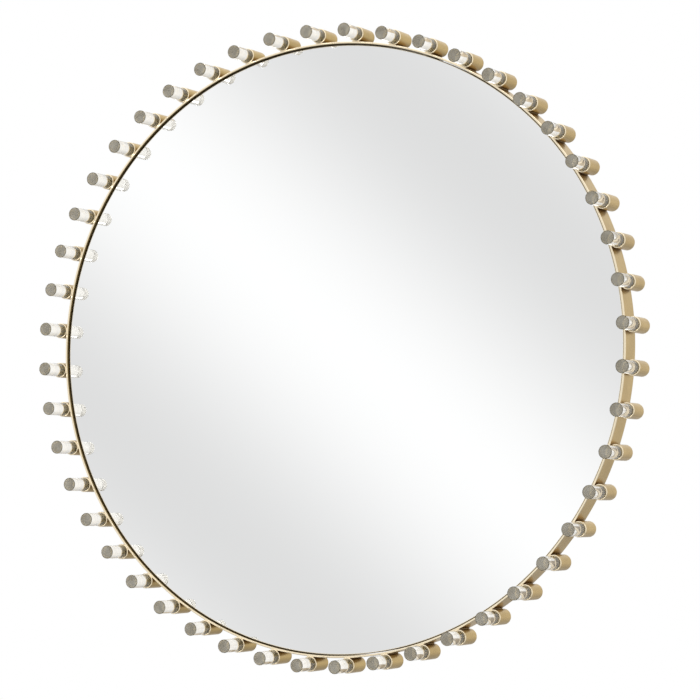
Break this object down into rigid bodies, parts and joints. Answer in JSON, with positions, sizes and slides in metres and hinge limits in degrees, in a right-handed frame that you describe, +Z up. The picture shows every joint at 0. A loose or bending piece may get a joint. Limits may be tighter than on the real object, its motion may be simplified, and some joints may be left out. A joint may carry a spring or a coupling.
{
  "type": "round wall mirror",
  "caption": "Round wall mirror in a flat brass hoop, ringed by short brass sleeves that each hold a clear rod standing forward.",
  "frame": {"origin": "centre of the mirror in the plane of the wall, at the backs of the bumpers", "axes": "+Y into the wall, so the mirror faces -Y; +Z up; +X to the right as seen from the front"},
  "size_m": [0.9132, 0.084, 0.9132],
  "materials": {
    "satin_brass": "satin brushed brass plate",
    "clear_acrylic": "polished clear acrylic",
    "mirror": "silvered float glass",
    "foam_tape": "closed-cell foam",
    "black_board": "black-painted fibreboard",
    "zinc_steel": "zinc-plated steel strip",
    "screw_steel": "zinc-plated screws",
    "ring_steel": "nickel-plated wire",
    "bumper_rubber": "soft clear rubber"
  },
  "bodies": {
    "mirror": {"frame_hoop": "satin_brass", "sleeves_upper_right": "satin_brass", "sleeves_lower_right": "satin_brass", "sleeves_lower_left": "satin_brass", "sleeves_upper_left": "satin_brass", "rods_upper_right": "clear_acrylic", "rods_lower_right": "clear_acrylic", "rods_lower_left": "clear_acrylic", "rods_upper_left": "clear_acrylic", "mirror_glass": "mirror", "tape_strips": "foam_tape", "backing_board": "black_board", "board_bracket_1": "zinc_steel", "board_bracket_2": "zinc_steel", "board_bracket_3": "zinc_steel", "board_bracket_4": "zinc_steel", "board_bracket_5": "zinc_steel", "board_bracket_6": "zinc_steel", "board_bracket_7": "zinc_steel", "board_bracket_8": "zinc_steel", "bracket_screws": "screw_steel", "hanger_strap_left": "zinc_steel", "hanger_strap_right": "zinc_steel", "hanger_screws": "screw_steel", "wall_bumper_1": "bumper_rubber", "wall_bumper_2": "bumper_rubber", "wall_bumper_3": "bumper_rubber", "wall_bumper_4": "bumper_rubber"},
    "left_ring": {"d_ring_left": "ring_steel"},
    "right_ring": {"d_ring_right": "ring_steel"}
  },
  "joints": [
    {"name": "left_ring_swing", "type": "hinge", "parent": "mirror", "child": "left_ring", "pos_m": [-0.20294, -0.018, 0.20294], "axis": [-1, 0, 0], "range_deg": [0, 175]},
    {"name": "right_ring_swing", "type": "hinge", "parent": "mirror", "child": "right_ring", "pos_m": [0.20294, -0.018, 0.20294], "axis": [-1, 0, 0], "range_deg": [0, 175]}
  ]
}
